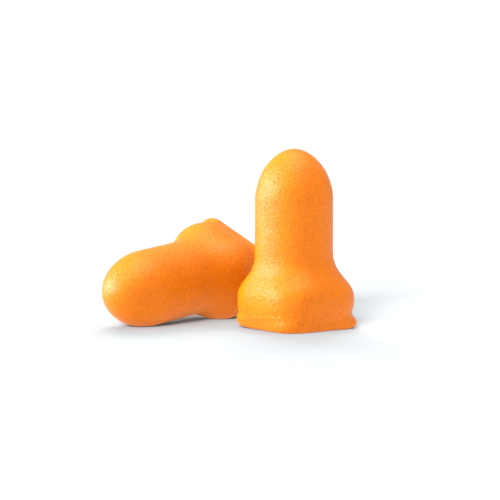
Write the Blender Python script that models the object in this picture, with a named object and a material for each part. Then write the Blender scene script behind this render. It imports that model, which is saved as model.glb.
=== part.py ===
"""A pair of bell-shaped foam ear plugs, one standing on its base and one lying on its side behind it.

Each plug is one solid moulding of soft foam: a round stem with a blunt domed nose that widens, at the
other end, into a four-cornered bell with a narrow lip round its flat base.

Frame: metres, +Z up. The origin is the centre of the standing plug's flat base, and +X runs to the
right, away from the lying plug's nose.
"""

import math

import bmesh
import bpy
from mathutils import Matrix

# The plug's driving dimensions. Heights are measured from the flat base towards the nose.
LENGTH = 0.0268
STEM_RADIUS = 0.0058
NOSE_LENGTH = 0.0078
NOSE_BLUNTNESS = 1.8
BELL_TOP = 0.0120
BELL_SHOULDER = 0.00525
BELL_STEEPNESS = 2.05
BELL_HALF_WIDTHS = (0.00692, 0.00692)
BELL_CORNER_RADIUS = 0.0026
LIP_HEIGHT = 0.0010
LIP_SPREAD = 0.0008
LIP_OUT = 0.00044
LIP_OUT_ON_SIDES = 0.35
PINCH_HEIGHT = 0.0024
PINCH_SPREAD = 0.0009
PINCH_IN = 0.00030
PINCH_IN_ON_SIDES = 0.30
BASE_EDGE_RADIUS = 0.0005

# The foam bells never recover quite alike: the lying plug's is a little narrower, and less square.
LYING_BELL_HALF_WIDTHS = (0.00593, 0.00691)

# Where the two plugs are. The standing plug's stem sits a little off the middle of its bell.
STANDING_TURN = math.radians(39.8)
STANDING_STEM_OFFSET = -0.00036
LYING_HEADING = math.radians(49.4)
LYING_ROLL = math.radians(-27.7)
LYING_BASE = (-0.01015, 0.01665)

# How finely the surface is divided.
POINTS_ROUND = 48
RINGS_IN_LIP = 7
RINGS_IN_BELL = 12
RINGS_IN_NOSE = 9

FOAM_ORANGE = (0.87, 0.25, 0.035, 1.0)
FOAM_ROUGHNESS = 0.62
FOAM_METALLIC = 0.0


def smooth_step(share):
    share = min(max(share, 0.0), 1.0)
    return share * share * (3.0 - 2.0 * share)


def swell(height, centre, spread):
    return math.exp(-(((height - centre) / spread) ** 2))


def bell_reach(angle, half_widths):
    """How far the bell's rounded-square outline is from the axis in this direction."""
    across, along = abs(math.cos(angle)), abs(math.sin(angle))
    corner_x, corner_y = (half_width - BELL_CORNER_RADIUS for half_width in half_widths)
    if half_widths[0] * along <= corner_y * across:
        return half_widths[0] / across
    if half_widths[1] * across <= corner_x * along:
        return half_widths[1] / along
    towards = corner_x * across + corner_y * along
    return towards + math.sqrt(towards**2 - corner_x**2 - corner_y**2 + BELL_CORNER_RADIUS**2)


def corner_share(reach, half_widths):
    """0 on the bell's sides and 1 at its corners."""
    side = sum(half_widths) / 2
    corner_x, corner_y = (half_width - BELL_CORNER_RADIUS for half_width in half_widths)
    corner = math.hypot(corner_x, corner_y) + BELL_CORNER_RADIUS
    return min(max((reach - side) / (corner - side), 0.0), 1.0)


def surface_radius(angle, height, half_widths):
    """The plug's radius in this direction at this height: stem and nose, bell, lip, pinch and base edge."""
    up_nose = max(0.0, (height - (LENGTH - NOSE_LENGTH)) / NOSE_LENGTH)
    stem = STEM_RADIUS * max(0.0, 1.0 - up_nose**2) ** (1.0 / NOSE_BLUNTNESS)
    reach = bell_reach(angle, half_widths)
    share = smooth_step((BELL_TOP - height) / (BELL_TOP - BELL_SHOULDER)) ** BELL_STEEPNESS
    radius = stem + (reach - STEM_RADIUS) * share
    corner = corner_share(reach, half_widths)
    lip_out = LIP_OUT * (LIP_OUT_ON_SIDES + (1.0 - LIP_OUT_ON_SIDES) * corner)
    pinch_in = PINCH_IN * (PINCH_IN_ON_SIDES + (1.0 - PINCH_IN_ON_SIDES) * corner)
    radius += lip_out * swell(height, LIP_HEIGHT, LIP_SPREAD)
    radius -= pinch_in * swell(height, PINCH_HEIGHT, PINCH_SPREAD)
    below_edge = max(0.0, BASE_EDGE_RADIUS - height)
    return radius - (BASE_EDGE_RADIUS - math.sqrt(BASE_EDGE_RADIUS**2 - below_edge**2))


def ring_heights():
    """Heights of the rings, closest together round the lip and at the top of the nose."""
    lip_top = PINCH_HEIGHT
    heights = [lip_top * (step / RINGS_IN_LIP) ** 1.5 for step in range(RINGS_IN_LIP)]
    rise = (BELL_TOP - lip_top) / RINGS_IN_BELL
    heights += [lip_top + rise * step for step in range(RINGS_IN_BELL + 1)]
    for step in range(RINGS_IN_NOSE):
        heights.append(LENGTH - NOSE_LENGTH + NOSE_LENGTH * math.sin(math.pi / 2 * step / RINGS_IN_NOSE))
    return heights


def plug_mesh(name, half_widths, stem_offset):
    """The plug lofted from its square bell to its round stem, base at z = 0 and nose towards +Z."""
    bm = bmesh.new()
    rings = []
    for height in ring_heights():
        offset = stem_offset * smooth_step((height - BELL_SHOULDER) / (BELL_TOP - BELL_SHOULDER))
        ring = []
        for point in range(POINTS_ROUND):
            angle = 2 * math.pi * point / POINTS_ROUND
            radius = surface_radius(angle, height, half_widths)
            ring.append(bm.verts.new((radius * math.cos(angle) + offset, radius * math.sin(angle), height)))
        rings.append(ring)
    tip = bm.verts.new((stem_offset, 0.0, LENGTH))
    for point in range(POINTS_ROUND):
        after = (point + 1) % POINTS_ROUND
        for lower, upper in zip(rings, rings[1:]):
            bm.faces.new((lower[point], lower[after], upper[after], upper[point]))
        bm.faces.new((rings[-1][point], rings[-1][after], tip))
    bm.faces.new(reversed(rings[0]))
    mesh = bpy.data.meshes.new(name)
    bm.to_mesh(mesh)
    bm.free()
    mesh.shade_smooth()
    return mesh


def lying_matrix(mesh, tilt):
    """Turned about its axis, laid down nose to -X with the nose dipped by tilt, and headed."""
    heading = Matrix.Rotation(LYING_HEADING, 4, "Z")
    laid = Matrix.Rotation(-math.pi / 2 - tilt, 4, "Y")
    turned = heading @ laid @ Matrix.Rotation(LYING_ROLL, 4, "Z")
    lowest = min((turned @ vertex.co).z for vertex in mesh.vertices)
    return Matrix.Translation((*LYING_BASE, -lowest)) @ turned


def resting_tilt(mesh):
    """The dip at which the nose half and the bell half of a lying plug both touch the ground."""
    level, steep = 0.0, math.radians(20)
    for _ in range(40):
        tilt = (level + steep) / 2
        placed = lying_matrix(mesh, tilt)
        nose_half = [(placed @ v.co).z for v in mesh.vertices if v.co.z > LENGTH / 2]
        bell_half = [(placed @ v.co).z for v in mesh.vertices if v.co.z <= LENGTH / 2]
        if min(nose_half) > min(bell_half):
            level = tilt
        else:
            steep = tilt
    return tilt


def foam_material(name):
    material = bpy.data.materials.new(name)
    material.use_nodes = True
    shader = material.node_tree.nodes["Principled BSDF"]
    shader.inputs["Base Color"].default_value = FOAM_ORANGE
    shader.inputs["Roughness"].default_value = FOAM_ROUGHNESS
    shader.inputs["Metallic"].default_value = FOAM_METALLIC
    material.diffuse_color = FOAM_ORANGE
    return material


def add_plug(collection, name, mesh, matrix):
    plug = bpy.data.objects.new(name, mesh)
    plug.matrix_world = matrix
    mesh.materials.append(foam_material(name + "_foam"))
    collection.objects.link(plug)


def main():
    for thing in list(bpy.data.objects):
        bpy.data.objects.remove(thing, do_unlink=True)
    collection = bpy.data.collections.new("foam_ear_plugs")
    bpy.context.scene.collection.children.link(collection)

    standing = plug_mesh("upright_plug", BELL_HALF_WIDTHS, STANDING_STEM_OFFSET)
    add_plug(collection, "upright_plug", standing, Matrix.Rotation(STANDING_TURN, 4, "Z"))

    lying = plug_mesh("lying_plug", LYING_BELL_HALF_WIDTHS, 0.0)
    add_plug(collection, "lying_plug", lying, lying_matrix(lying, resting_tilt(lying)))


main()
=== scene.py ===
"""The looks of a pair of bell-shaped foam ear plugs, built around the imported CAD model.

Each plug becomes one detailed foam moulding that takes its place, turn and main sizes from its CAD
solid: a domed nose, a round stem, a four-cornered bell, and a thin uneven lip round a dished base.
Lengths are in metres, heights on a plug are measured from its base towards its nose, and spreads
round it are in radians.
"""

import math

import bpy
import numpy as np
from mathutils import Matrix, Vector, noise


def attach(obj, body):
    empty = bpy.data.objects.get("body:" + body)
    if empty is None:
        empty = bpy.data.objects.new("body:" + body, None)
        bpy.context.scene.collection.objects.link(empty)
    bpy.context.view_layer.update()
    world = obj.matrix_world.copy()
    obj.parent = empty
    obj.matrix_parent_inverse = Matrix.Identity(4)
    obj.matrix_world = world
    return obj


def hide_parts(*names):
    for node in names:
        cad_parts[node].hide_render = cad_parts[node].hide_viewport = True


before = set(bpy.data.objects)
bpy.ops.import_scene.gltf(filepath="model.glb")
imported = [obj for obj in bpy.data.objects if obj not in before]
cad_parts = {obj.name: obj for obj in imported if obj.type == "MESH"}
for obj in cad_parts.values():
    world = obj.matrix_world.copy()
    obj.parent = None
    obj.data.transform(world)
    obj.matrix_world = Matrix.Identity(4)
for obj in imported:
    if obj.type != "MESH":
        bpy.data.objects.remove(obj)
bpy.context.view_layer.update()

# Where a plug's stem and bell are measured on its CAD solid, as shares of its length, how closely
# faces agree that count as one flat face, and how many turns of the bell are tried.
STEM_BAND = (0.44, 0.72)
BELL_BAND = (0.11, 0.19)
SAME_FACING = 0.999
TURNS_TRIED = 361

# The nose, and the heights between which the bell flares, as shares of the length. The nose is
# blunter and the flare steeper with the larger powers.
NOSE_SHARE = 0.291
NOSE_BLUNTNESS = 1.8
BELL_TOP = 0.448
BELL_SHOULDER = 0.196
BELL_STEEPNESS = 2.05

# The flare is a mean over heights this far above and below, which softens where it starts and ends.
BELL_SOFTNESS = 0.0009
SOFTNESS_STEPS = np.linspace(-1.0, 1.0, 5)

# The bell's corners. Above the height BELL_ROUNDING_REACH their radius is BELL_ROUNDING more than
# BELL_CORNER_RADIUS, and the base has only this share of that rounding.
BELL_CORNER_RADIUS = 0.0026
BELL_ROUNDING = 0.0030
BELL_ROUNDING_AT_BASE = 0.15
BELL_ROUNDING_REACH = 0.0042

# The lip that the mould leaves round the base, and the pinch above it. Both gather at the corners,
# more sharply with a larger power, and a curled corner and a smooth one keep only a share of them.
LIP_HEIGHT = 0.0010
LIP_SPREAD = 0.0008
LIP_OUT_ON_SIDES = 0.00004
LIP_OUT_AT_CORNERS = 0.00044
LIP_CORNER_POWER = 1.5
PINCH_HEIGHT = 0.0024
PINCH_SPREAD = 0.0009
PINCH_IN_AT_CORNERS = 0.00032
CURLED_CORNER_SHARE = 0.45
SMOOTH_CORNER_SHARE = 0.2
SMOOTH_CORNER_SPREAD = 0.6

# The lip's slow waves round the plug.
WAVE_FREQUENCY = 1.6
WAVE_DEPTH = 0.4

# The fine ledge along the lip's upper edge. It shows most on one side, where it slants, and is a
# share of that elsewhere. It starts over LEDGE_WIDTH, fades out downwards, and comes and goes in
# short breaks round the plug.
LEDGE_HEIGHT = 0.00215
LEDGE_RISE = 0.00060
LEDGE_OUT = 0.00020
LEDGE_SPREAD = 0.60
LEDGE_ELSEWHERE = 0.15
LEDGE_WIDTH = 0.00010
LEDGE_FADE = 0.00045
BREAK_FREQUENCY = 9.0
BREAK_DEPTH = 1.6
BREAK_LEVEL = 0.7
BREAK_LIMITS = (0.1, 1.2)
BREAK_SEED = 7.0

# The base: its rounded edge, its shallow dish, and how far a curled corner reaches up and round.
BASE_EDGE_RADIUS = 0.00050
BASE_EDGE_RADIUS_AT_CORNERS = 0.00090
BASE_DISH = 0.00030
CURL_REACH = 0.0030
CURL_SPREAD = 0.5

# Unevenness of the moulded foam: soft lumps, and the small pits of its skin.
LUMP_SIZE = 0.0050
LUMP_HEIGHT = 0.00004
LUMP_SMOOTHNESS = 0.8
LUMP_GAP = 2.0
LUMP_OCTAVES = 3
PIT_SIZE = 0.00050
PIT_DEPTH = 0.000035
PIT_DETAIL = 2

# A resting plug's foam gives a little where it touches the floor.
FLOOR_GIVE = 0.00012
FLOOR_SOFTNESS = 0.00010

# How finely the cage is divided, before one subdivision.
POINTS_ROUND = 144
RINGS_ON_BASE = 16
RINGS_ON_EDGE = 7
RINGS_ON_LIP = 28
RINGS_ON_BELL = 38
RINGS_ON_STEM = 22
RINGS_ON_NOSE = 30

# Each plug's own unevenness: its random start; how far its sides lean in from the lip's upper edge
# down to the base; how far one base corner curls up, and which way that corner faces; which way the
# lip's ledge shows most; and which way its smooth corner faces.
PLUGS = {
    "upright_plug": {
        "seed": 1.0,
        "taper": 0.00045,
        "curl": 0.00052,
        "curl_towards": (-1.0, 0.0, 0.0),
        "ledge_towards": (-0.8, -0.6, 0.0),
        "smooth_towards": (0.1, -1.0, 0.0),
    },
    "lying_plug": {
        "seed": 5.0,
        "taper": 0.0,
        "curl": 0.0,
        "curl_towards": (-1.0, 0.0, 0.0),
        "ledge_towards": (0.5, -0.5, 0.7),
        "smooth_towards": (-0.5, 0.0, -1.0),
    },
}

# The foam: its deeper and lighter orange, the sheen of its skin, and how far light gets into it.
FOAM_DEEP = (0.795, 0.174, 0.001, 1.0)
FOAM_LIGHT = (0.845, 0.212, 0.002, 1.0)
FOAM_ROUGHNESS = (0.32, 0.42)
FOAM_SPECULAR = 0.28
SUBSURFACE_SHARE = 0.2
SUBSURFACE_REACH = (1.0, 0.30, 0.08)
SUBSURFACE_SCALE = 0.0006

# The foam's patterns: broad blotches of colour, a fine mottle, open pores and the finest grain.
# MOTTLE_SPAN and PORE_EDGE are the stretches of a pattern's values that count, and MOTTLE_SHADE
# and the pores' painted shade are what the colour is multiplied by at their ends. The darker
# middles of the pores are painted shade in their hollows.
BLOTCH_SIZE = 0.0040
BLOTCH_DETAIL = 3.0
MOTTLE_SIZE = 0.00036
MOTTLE_DETAIL = 2.0
MOTTLE_ROUGHNESS = 0.6
MOTTLE_SPAN = (0.3, 0.7)
MOTTLE_SHADE = (0.89, 1.08)
PORE_SIZE = 0.00042
PORE_EDGE = (0.06, 0.22)
PORE_PAINTED_SHADE = (0.99, 1.0)
GRAIN_SIZE = 0.00012
GRAIN_DETAIL = 2.0
GRAIN_SHARE = 0.35
BUMP_HEIGHT = 0.00011

# The camera: a long lens, in millimetres, near the plugs' own height.
CAMERA_LENS = 98.939
CAMERA_DISTANCE = 0.2047
CAMERA_AZIMUTH = math.radians(0.65)
CAMERA_ELEVATION = math.radians(3.29)
CAMERA_AIM = (-0.00683, 0.0, 0.0116)
CAMERA_CLIP = (0.01, 10.0)

# The room's even light, and how white its walls look to the camera.
ROOM_STRENGTH = 0.53
WALL_WHITE = 1.05

# The floor: a plain pale sheet.
FLOOR_COLOUR = (0.288, 0.298, 0.305, 1.0)
FLOOR_ROUGHNESS = 0.9
FLOOR_SIZE = 4.0

# Lights: name, azimuth and elevation in degrees (azimuth 0 is the camera's side, -90 the left),
# strength, angular size in degrees, what it lights, whether it casts shadows, and what it gives:
# "dull" is diffuse light only, "shine" is highlights only.
LIGHTS = (
    ("key_low", -79, 10, 4.4, 16, "foam", False, "dull"),
    ("key_high", -79, 45, 3.0, 20, "foam", True, "dull"),
    ("top", 0, 85, 2.4, 50, "foam", True, "both"),
    ("fill", 27, 8, 0.70, 60, "foam", False, "dull"),
    ("floor_glow", 15, -60, 1.05, 60, "foam", False, "dull"),
    ("shine", -108, 12, 3.0, 34, "foam", True, "shine"),
    ("glint", -76, 20, 4.6, 5, "foam", True, "shine"),
    ("floor_even", 0, 90, 1.7, 60, "floor", False, "both"),
    ("floor_front", -13, 20, 12.3, 20, "floor", True, "both"),
    ("floor_left", -40, 32, 1.0, 35, "floor", True, "both"),
    ("floor_back", -175, 38, 5.0, 40, "floor", True, "both"),
)


# Measuring the CAD solids


def flat_base_of(mesh):
    """(centre, outward normal) of the one large flat face of a plug's solid."""
    areas = {}
    for face in mesh.polygons:
        key = tuple(round(part, 2) for part in face.normal)
        areas[key] = areas.get(key, 0.0) + face.area
    facing = Vector(max(areas, key=areas.get)).normalized()
    faces = [face for face in mesh.polygons if face.normal.dot(facing) > SAME_FACING]
    area = sum(face.area for face in faces)
    centre = sum((face.center * face.area for face in faces), Vector()) / area
    normal = sum((face.normal * face.area for face in faces), Vector()).normalized()
    return centre, normal


def half_extents(points):
    return (points.max(axis=0) - points.min(axis=0)) / 2


def turned(points, angle):
    cosine, sine = math.cos(angle), math.sin(angle)
    return points @ np.array(((cosine, -sine), (sine, cosine)))


def measure(node):
    """A plug's place and sizes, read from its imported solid. In its own frame the nose points to +Z,
    and the bell's sides face +-X and +-Y."""
    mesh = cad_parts[node].data
    centre, normal = flat_base_of(mesh)
    place = normal.to_track_quat("-Z", "Y").to_matrix().to_4x4()
    place.translation = centre
    local = np.array([place.inverted() @ vertex.co for vertex in mesh.vertices])
    height = local[:, 2] / local[:, 2].max()
    bell = local[(height > BELL_BAND[0]) & (height < BELL_BAND[1]), :2]
    turns = np.linspace(0.0, math.pi / 2, TURNS_TRIED)
    turn = min(turns, key=lambda angle: np.prod(half_extents(turned(bell, angle))))

    tip = turned(local[local[:, 2].argmax(), :2], turn)
    stem = turned(local[(height > STEM_BAND[0]) & (height < STEM_BAND[1]), :2], turn)
    return {
        "place": place @ Matrix.Rotation(turn, 4, "Z"),
        "length": local[:, 2].max(),
        "stem_centre": tip,
        "stem_radius": np.linalg.norm(stem - tip, axis=1).mean(),
        "half_widths": half_extents(turned(bell, turn)),
    }


# The shape of a plug


def smooth_step(share):
    """0 to 1 with an easy start and end, as the share goes from 0 to 1."""
    share = np.clip(share, 0.0, 1.0)
    return share * share * (3.0 - 2.0 * share)


def swell(value, centre, spread):
    """1 at the centre, dying away on both sides of it."""
    return np.exp(-(((value - centre) / spread) ** 2))


def round_noise(angle, frequency, seed):
    """Smooth noise that closes on itself round the plug, from about -0.5 to 0.5."""
    return np.array(
        [noise.noise((frequency * math.cos(a), frequency * math.sin(a), seed)) for a in angle]
    )


def angle_off(plug, angle, towards):
    """How far each direction round the plug is from the one that faces plug[towards], which is a
    direction in the shared frame."""
    local = plug["place"].inverted().to_3x3() @ Vector(plug[towards])
    off = angle - math.atan2(local.y, local.x)
    return (off + math.pi) % (2 * math.pi) - math.pi


def unevenness(plug, angle):
    """What differs in each direction round the plug: how strong the lip is, its waves, its ledge,
    and how far the base curls up."""
    off_ledge = angle_off(plug, angle, "ledge_towards")
    ledge = LEDGE_ELSEWHERE + (1.0 - LEDGE_ELSEWHERE) * swell(off_ledge, 0.0, LEDGE_SPREAD)
    breaks = BREAK_DEPTH * round_noise(angle, BREAK_FREQUENCY, plug["seed"] + BREAK_SEED)
    facing_smooth = swell(angle_off(plug, angle, "smooth_towards"), 0.0, SMOOTH_CORNER_SPREAD)
    facing_curl = swell(angle_off(plug, angle, "curl_towards"), 0.0, CURL_SPREAD)
    lipped = 1.0 - (1.0 - SMOOTH_CORNER_SHARE) * facing_smooth
    if plug["curl"] > 0.0:
        lipped *= 1.0 - (1.0 - CURLED_CORNER_SHARE) * facing_curl
    return {
        "lipped": lipped,
        "waves": round_noise(angle, WAVE_FREQUENCY, plug["seed"]),
        "ledge": ledge * np.clip(BREAK_LEVEL + breaks, *BREAK_LIMITS),
        "ledge_height": LEDGE_HEIGHT + LEDGE_RISE * np.sin(off_ledge),
        "curled_up": plug["curl"] * facing_curl,
    }


def bell_outline(angle, half_widths, height):
    """(how far the bell's rounded-square outline is from the axis, 0 on a side to 1 at a corner).
    Up from the lip its corners get rounder and its sides fuller, with the corners as far out."""
    up = smooth_step(height / BELL_ROUNDING_REACH)
    rounding = BELL_ROUNDING * (BELL_ROUNDING_AT_BASE + (1.0 - BELL_ROUNDING_AT_BASE) * up)
    corner_radius = BELL_CORNER_RADIUS + rounding
    half_widths = half_widths + rounding * (1.0 - math.sqrt(0.5))
    nearly_zero = 1e-9
    across = np.maximum(np.abs(np.cos(angle)), nearly_zero)
    along = np.maximum(np.abs(np.sin(angle)), nearly_zero)

    corner_x, corner_y = half_widths - corner_radius
    towards = corner_x * across + corner_y * along
    beyond = towards**2 - corner_x**2 - corner_y**2 + corner_radius**2
    reach = towards + np.sqrt(np.maximum(beyond, 0.0))
    on_x_side = half_widths[0] * along <= corner_y * across
    on_y_side = half_widths[1] * across <= corner_x * along
    reach = np.where(on_x_side, half_widths[0] / across, reach)
    reach = np.where(on_y_side, half_widths[1] / along, reach)

    side = half_widths.mean()
    corner = math.hypot(corner_x, corner_y) + corner_radius
    return reach, np.clip((reach - side) / (corner - side), 0.0, 1.0)


def wall_radius(plug, angle, height):
    """The plug's radius in these directions at this height: stem, nose, bell, lip, pinch, ledge and
    rounded base edge."""
    length = plug["length"]
    up_nose = max(0.0, (height / length - (1.0 - NOSE_SHARE)) / NOSE_SHARE)
    stem = plug["stem_radius"] * (1.0 - up_nose**2) ** (1.0 / NOSE_BLUNTNESS)
    reach, corner = bell_outline(angle, plug["half_widths"], height)
    near = height + BELL_SOFTNESS * SOFTNESS_STEPS
    rise = (BELL_TOP - near / length) / (BELL_TOP - BELL_SHOULDER)
    flare = np.mean(smooth_step(rise) ** BELL_STEEPNESS)
    radius = stem + (reach - plug["stem_radius"]) * flare

    below = plug["ledge_height"] - height
    taper = plug["taper"] * (1.0 - corner * plug["lipped"])
    radius -= taper * np.clip(below / plug["ledge_height"], 0.0, 1.0)

    lipped_corner = corner**LIP_CORNER_POWER * plug["lipped"]
    lip_out = LIP_OUT_ON_SIDES + (LIP_OUT_AT_CORNERS - LIP_OUT_ON_SIDES) * lipped_corner
    lip_out = lip_out * (1.0 + WAVE_DEPTH * plug["waves"])
    radius += lip_out * swell(height, LIP_HEIGHT, LIP_SPREAD)
    radius -= PINCH_IN_AT_CORNERS * lipped_corner * swell(height, PINCH_HEIGHT, PINCH_SPREAD)

    ledge = smooth_step(below / LEDGE_WIDTH) * np.exp(-np.maximum(below, 0.0) / LEDGE_FADE)
    radius += LEDGE_OUT * plug["ledge"] * ledge

    edge = BASE_EDGE_RADIUS + (BASE_EDGE_RADIUS_AT_CORNERS - BASE_EDGE_RADIUS) * lipped_corner
    return radius - (edge - np.sqrt(edge**2 - np.maximum(edge - height, 0.0) ** 2))


def wall_heights(length):
    """Heights of the wall's rings, from the top of the base's rounded edge to just under the tip."""
    nose = NOSE_SHARE * length
    lip_end = PINCH_HEIGHT + PINCH_SPREAD
    lip = np.linspace(BASE_EDGE_RADIUS_AT_CORNERS, lip_end, RINGS_ON_LIP, endpoint=False)
    bell = np.linspace(lip_end, BELL_TOP * length, RINGS_ON_BELL, endpoint=False)
    stem = np.linspace(BELL_TOP * length, length - nose, RINGS_ON_STEM, endpoint=False)
    turn = np.linspace(0.0, math.pi / 2, RINGS_ON_NOSE, endpoint=False)
    return np.concatenate([lip, bell, stem, length - nose + nose * np.sin(turn)])


def foam_rings(plug, angle):
    """(radius, height) of every ring, from the middle of the base to the nose."""
    rim = wall_radius(plug, angle, 0.0)
    rings = []
    for share in np.linspace(0.0, 1.0, RINGS_ON_BASE + 1)[1:-1]:
        rings.append((rim * share, BASE_DISH * smooth_step(1.0 - share)))
    for turn in np.linspace(0.0, math.pi / 2, RINGS_ON_EDGE, endpoint=False):
        height = BASE_EDGE_RADIUS_AT_CORNERS * (1.0 - math.cos(turn))
        rings.append((wall_radius(plug, angle, height), height))
    for height in wall_heights(plug["length"]):
        rings.append((wall_radius(plug, angle, height), height))
    return rings


def foam_points(plug):
    """The cage's rings of points in the plug's own frame."""
    angle = np.linspace(0.0, 2 * math.pi, POINTS_ROUND, endpoint=False)
    plug = {**plug, **unevenness(plug, angle)}
    widest = np.linalg.norm(plug["half_widths"])

    rings = foam_rings(plug, angle)
    points = np.empty((len(rings), POINTS_ROUND, 3))
    for ring, (radius, height) in zip(points, rings):
        rise = (height / plug["length"] - BELL_SHOULDER) / (BELL_TOP - BELL_SHOULDER)
        offset = plug["stem_centre"] * smooth_step(rise)
        fading = max(0.0, 1.0 - height / CURL_REACH)
        ring[:, 0] = radius * np.cos(angle) + offset[0]
        ring[:, 1] = radius * np.sin(angle) + offset[1]
        ring[:, 2] = height + plug["curled_up"] * (radius / widest) ** 2 * fading
    return points


def foam_mesh(name, plug):
    """The cage as one closed mesh in the shared frame, with its soft lumps."""
    points = foam_points(plug)
    rings, columns = points.shape[:2]
    middle, tip = (0.0, 0.0, BASE_DISH), (*plug["stem_centre"], plug["length"])
    vertices = [plug["place"] @ Vector(point) for point in (*points.reshape(-1, 3), middle, tip)]
    middle_index, tip_index = rings * columns, rings * columns + 1
    faces = []
    for column in range(columns):
        after = (column + 1) % columns
        for row in range(rings - 1):
            low, high = row * columns, (row + 1) * columns
            faces.append((low + column, low + after, high + after, high + column))
        last = (rings - 1) * columns
        faces.append((middle_index, after, column))
        faces.append((tip_index, last + column, last + after))
    mesh = bpy.data.meshes.new(name)
    mesh.from_pydata(vertices, [], faces)
    mesh.update()

    normals = [normal.vector.copy() for normal in mesh.vertex_normals]
    for vertex, normal in zip(mesh.vertices, normals):
        lump = noise.fractal(vertex.co / LUMP_SIZE, LUMP_SMOOTHNESS, LUMP_GAP, LUMP_OCTAVES)
        vertex.co += normal * LUMP_HEIGHT * lump
    return mesh


def rest_on_floor(mesh):
    """Presses the mesh a little into the floor, and flattens what would be under it."""
    for vertex in mesh.vertices:
        height = vertex.co.z - FLOOR_GIVE
        vertex.co.z = 0.5 * (height + math.sqrt(height**2 + FLOOR_SOFTNESS**2))


def pit_texture():
    pits = bpy.data.textures.new("foam_pits", "CLOUDS")
    pits.noise_scale = PIT_SIZE
    pits.noise_depth = PIT_DETAIL
    return pits


def add_plug(node, material, pits):
    """The foam moulding that stands for one plug's CAD solid and moves with it."""
    mesh = foam_mesh(node + "_foam", {**measure(node), **PLUGS[node]})
    rest_on_floor(mesh)
    mesh.shade_smooth()
    mesh.materials.append(material)
    piece = bpy.data.objects.new(node + "_foam", mesh)
    bpy.context.scene.collection.objects.link(piece)

    smooth = piece.modifiers.new("smooth", "SUBSURF")
    smooth.levels = smooth.render_levels = 1
    skin = piece.modifiers.new("skin", "DISPLACE")
    skin.texture = pits
    skin.texture_coords = "LOCAL"
    skin.strength = PIT_DEPTH

    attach(piece, node)
    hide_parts(node)
    return piece


# The foam's material


def foam_material():
    """Self-skinned orange foam: mottled, finely pitted, a little translucent, with a dull sheen."""
    material = bpy.data.materials.new("orange_foam")
    material.use_nodes = True
    tree = material.node_tree
    shader = tree.nodes["Principled BSDF"]
    shader.inputs["Subsurface Weight"].default_value = SUBSURFACE_SHARE
    shader.inputs["Subsurface Radius"].default_value = SUBSURFACE_REACH
    shader.inputs["Subsurface Scale"].default_value = SUBSURFACE_SCALE
    shader.inputs["Specular IOR Level"].default_value = FOAM_SPECULAR
    place = tree.nodes.new("ShaderNodeTexCoord").outputs["Object"]

    def pattern(kind, size, **settings):
        """A procedural texture node with features of about this size."""
        made = tree.nodes.new(kind)
        made.inputs["Scale"].default_value = 1 / size
        for name, value in settings.items():
            made.inputs[name].default_value = value
        tree.links.new(place, made.inputs["Vector"])
        return made

    def ranged(source, low_high=(0.0, 1.0), to_low_high=(0.0, 1.0)):
        """The value with one range of it mapped onto another, and clipped there."""
        made = tree.nodes.new("ShaderNodeMapRange")
        made.inputs["From Min"].default_value, made.inputs["From Max"].default_value = low_high
        made.inputs["To Min"].default_value, made.inputs["To Max"].default_value = to_low_high
        tree.links.new(source, made.inputs["Value"])
        return made.outputs["Result"]

    def calculated(operation, *values):
        made = tree.nodes.new("ShaderNodeMath")
        made.operation = operation
        for socket, value in zip(made.inputs, values):
            if isinstance(value, float):
                socket.default_value = value
            else:
                tree.links.new(value, socket)
        return made.outputs["Value"]

    blotch = pattern("ShaderNodeTexNoise", BLOTCH_SIZE, Detail=BLOTCH_DETAIL).outputs["Fac"]
    mottle = pattern(
        "ShaderNodeTexNoise", MOTTLE_SIZE, Detail=MOTTLE_DETAIL, Roughness=MOTTLE_ROUGHNESS
    ).outputs["Fac"]
    grain = pattern("ShaderNodeTexNoise", GRAIN_SIZE, Detail=GRAIN_DETAIL).outputs["Fac"]
    pores = ranged(pattern("ShaderNodeTexVoronoi", PORE_SIZE).outputs["Distance"], PORE_EDGE)

    tone = tree.nodes.new("ShaderNodeMix")
    tone.data_type = "RGBA"
    tone.inputs["A"].default_value = FOAM_DEEP
    tone.inputs["B"].default_value = FOAM_LIGHT
    tree.links.new(blotch, tone.inputs["Factor"])
    mottle_shade = ranged(mottle, MOTTLE_SPAN, MOTTLE_SHADE)
    # Painted shade: the colour is a touch darker in the middle of each pore, where the relief dips.
    pore_painted_shade = ranged(pores, to_low_high=PORE_PAINTED_SHADE)
    coloured = tree.nodes.new("ShaderNodeVectorMath")
    coloured.operation = "SCALE"
    tree.links.new(tone.outputs["Result"], coloured.inputs[0])
    tree.links.new(calculated("MULTIPLY", mottle_shade, pore_painted_shade), coloured.inputs["Scale"])
    tree.links.new(coloured.outputs["Vector"], shader.inputs["Base Color"])

    tree.links.new(ranged(mottle, to_low_high=FOAM_ROUGHNESS), shader.inputs["Roughness"])

    relief = calculated("ADD", calculated("MULTIPLY_ADD", grain, GRAIN_SHARE, mottle), pores)
    bump = tree.nodes.new("ShaderNodeBump")
    bump.inputs["Strength"].default_value = 1.0
    bump.inputs["Distance"].default_value = BUMP_HEIGHT
    tree.links.new(relief, bump.inputs["Height"])
    tree.links.new(bump.outputs["Normal"], shader.inputs["Normal"])
    return material


# The studio


def direction(azimuth, elevation):
    """The unit vector towards this azimuth (0 is -Y, the camera's side) and elevation."""
    level = math.cos(elevation)
    return Vector((math.sin(azimuth) * level, -math.cos(azimuth) * level, math.sin(elevation)))


def add_camera():
    data = bpy.data.cameras.new("camera")
    data.lens = CAMERA_LENS
    data.clip_start, data.clip_end = CAMERA_CLIP
    camera = bpy.data.objects.new("camera", data)
    bpy.context.scene.collection.objects.link(camera)
    back = direction(CAMERA_AZIMUTH, CAMERA_ELEVATION)
    camera.location = Vector(CAMERA_AIM) + back * CAMERA_DISTANCE
    camera.rotation_euler = back.to_track_quat("Z", "Y").to_euler()
    bpy.context.scene.camera = camera
    bpy.context.scene.view_settings.view_transform = "Standard"


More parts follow.
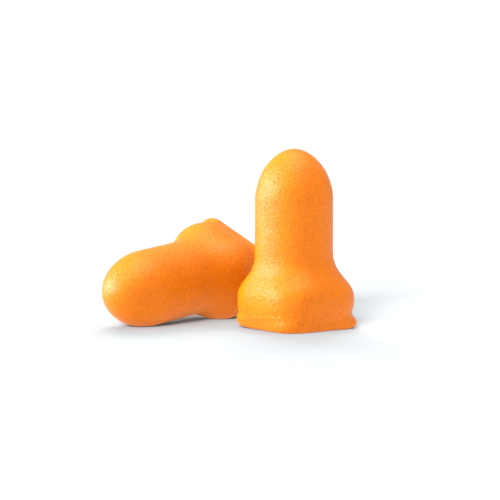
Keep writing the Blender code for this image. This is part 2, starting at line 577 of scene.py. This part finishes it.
def add_room():
    """Even white light from all round. The camera sees its walls as plain white."""
    world = bpy.data.worlds.new("room")
    world.use_nodes = True
    tree = world.node_tree
    background = tree.nodes["Background"]
    background.inputs["Color"].default_value = (1.0, 1.0, 1.0, 1.0)
    brightness = tree.nodes.new("ShaderNodeMapRange")
    brightness.inputs["To Min"].default_value = ROOM_STRENGTH
    brightness.inputs["To Max"].default_value = WALL_WHITE
    path = tree.nodes.new("ShaderNodeLightPath")
    tree.links.new(path.outputs["Is Camera Ray"], brightness.inputs["Value"])
    tree.links.new(brightness.outputs["Result"], background.inputs["Strength"])
    bpy.context.scene.world = world


def add_floor():
    bpy.ops.mesh.primitive_plane_add(size=FLOOR_SIZE)
    floor = bpy.context.object
    floor.name = "floor"
    material = bpy.data.materials.new("floor_white")
    material.use_nodes = True
    shader = material.node_tree.nodes["Principled BSDF"]
    shader.inputs["Base Color"].default_value = FLOOR_COLOUR
    shader.inputs["Roughness"].default_value = FLOOR_ROUGHNESS
    shader.inputs["Specular IOR Level"].default_value = 0.0
    floor.data.materials.append(material)
    return floor


def add_lights(floor, foams):
    """Soft distant lights. The foam and the floor have their own, so that the shadows stay pale,
    and the foam's don't bounce, so that one plug casts no glow on the other."""
    lit = {"foam": bpy.data.collections.new("lit_foam"), "floor": bpy.data.collections.new("lit_floor")}
    lit["floor"].objects.link(floor)
    for foam in foams:
        lit["foam"].objects.link(foam)
    for name, azimuth, elevation, strength, size, lights_what, shadows, gives in LIGHTS:
        data = bpy.data.lights.new(name, "SUN")
        data.energy = strength
        data.angle = math.radians(size)
        data.use_shadow = shadows
        if lights_what == "foam":
            data.cycles.max_bounces = 0
        light = bpy.data.objects.new(name, data)
        towards = direction(math.radians(azimuth), math.radians(elevation))
        light.rotation_euler = towards.to_track_quat("Z", "Y").to_euler()
        bpy.context.scene.collection.objects.link(light)
        light.light_linking.receiver_collection = lit[lights_what]
        light.visible_diffuse = gives != "shine"
        light.visible_glossy = gives != "dull"


foam = foam_material()
pits = pit_texture()
plugs = [add_plug(node, foam, pits) for node in PLUGS]
add_camera()
add_room()
add_lights(add_floor(), plugs)
